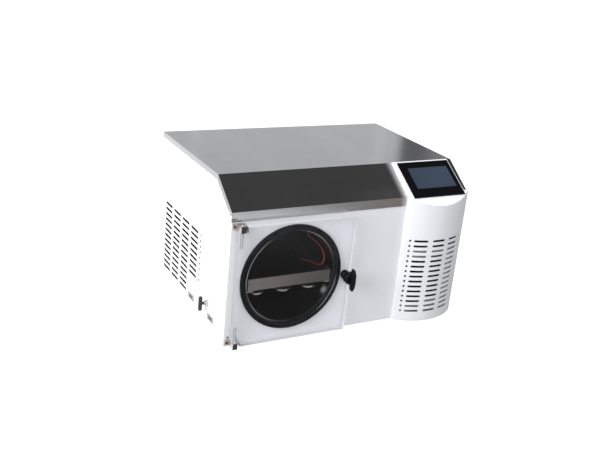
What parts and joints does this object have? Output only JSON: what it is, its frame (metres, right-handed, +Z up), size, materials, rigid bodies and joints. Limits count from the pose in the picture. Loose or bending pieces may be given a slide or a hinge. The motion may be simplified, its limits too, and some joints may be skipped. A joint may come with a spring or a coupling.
{
  "type": "freeze dryer",
  "caption": "Benchtop freeze dryer with a folded steel cover, a round vacuum chamber behind a clear hinged door, a product tray over a cooling coil, and a curved tower with a sloping screen.",
  "frame": {"origin": "middle of the footprint at the level of the feet's undersides", "axes": "+X to the right seen from the front, +Y from the front door to the back, +Z up"},
  "size_m": [0.6238, 0.486, 0.3746],
  "materials": {
    "white_paint": "satin powder coat",
    "satin_steel": "satin rolled sheet",
    "bright_steel": "bright",
    "tray_steel": "warm satin",
    "clear_acrylic": "clear, polished edges",
    "black_rubber": "matt",
    "black_plastic": "fine satin",
    "galvanised_steel": "dull zinc",
    "copper_tube": "bare copper",
    "black_enamel": "semi-gloss enamel",
    "fin_aluminium": "dark coated",
    "circuit_board": "solder resist",
    "screen": "dim backlit panel",
    "label_plate": "blank",
    "probe_red": "silicone jacket"
  },
  "bodies": {
    "root": {"left_side_panel": "white_paint", "right_side_panel": "white_paint", "front_panel": "white_paint", "rear_panel": "white_paint", "tower_front": "white_paint", "tower_top": "white_paint", "top_cover": "satin_steel", "chamber_barrel": "bright_steel", "tray_rail_left": "bright_steel", "tray_rail_right": "bright_steel", "evaporator_coil": "bright_steel", "coil_bar_front": "bright_steel", "coil_bar_rear": "bright_steel", "probe_tip": "bright_steel", "vent_valve_body": "bright_steel", "vent_valve_nut": "bright_steel", "vent_port": "bright_steel", "hinge_bracket_upper": "bright_steel", "hinge_pin_upper": "bright_steel", "hinge_bracket_lower": "bright_steel", "hinge_pin_lower": "bright_steel", "latch_bush": "bright_steel", "pump_port": "bright_steel", "tray": "tray_steel", "foot_front_left": "black_rubber", "foot_rear_left": "black_rubber", "foot_front_right": "black_rubber", "foot_rear_right": "black_rubber", "door_gasket": "black_rubber", "screen_bezel": "black_plastic", "probe_gland": "black_plastic", "power_inlet": "black_plastic", "base_pan": "galvanised_steel", "tower_floor": "galvanised_steel", "display_module": "galvanised_steel", "chamber_saddle_front": "galvanised_steel", "chamber_saddle_rear": "galvanised_steel", "condenser_frame": "galvanised_steel", "fan_motor": "galvanised_steel", "power_supply": "galvanised_steel", "vent_pipe": "copper_tube", "filter_drier": "copper_tube", "discharge_line": "copper_tube", "liquid_line": "copper_tube", "expansion_line": "copper_tube", "suction_line": "copper_tube", "compressor": "black_enamel", "condenser_core": "fin_aluminium", "control_board": "circuit_board", "screen_panel": "screen", "label_rear": "label_plate", "label_front": "label_plate", "probe_wire": "probe_red"},
    "door": {"door_plate": "clear_acrylic"},
    "latch": {"latch_knob": "black_plastic", "latch_stud": "bright_steel", "latch_collar": "bright_steel"},
    "valve_handle": {"vent_valve_handle": "black_plastic"},
    "fan": {"fan_rotor": "black_plastic"},
    "power_switch": {"power_rocker": "black_plastic"}
  },
  "joints": [
    {"name": "door_hinge", "type": "hinge", "parent": "root", "child": "door", "pos_m": [-0.27545, -0.2077, 0.16], "axis": [0, 0, -1], "range_deg": [0, 110]},
    {"name": "latch_turn", "type": "hinge", "parent": "door", "child": "latch", "pos_m": [-0.01045, -0.221, 0.149], "axis": [0, 1, 0], "continuous": true},
    {"name": "valve_turn", "type": "hinge", "parent": "root", "child": "valve_handle", "pos_m": [-0.30145, -0.093, 0.0695], "axis": [1, 0, 0], "range_deg": [0, 90]},
    {"name": "fan_spin", "type": "hinge", "parent": "root", "child": "fan", "pos_m": [0.22525, -0.123, 0.112], "axis": [0, 1, 0], "continuous": true},
    {"name": "rocker_tilt", "type": "hinge", "parent": "root", "child": "power_switch", "pos_m": [0.05655, 0.219, 0.072], "axis": [1, 0, 0], "range_deg": [-16, 0]}
  ]
}
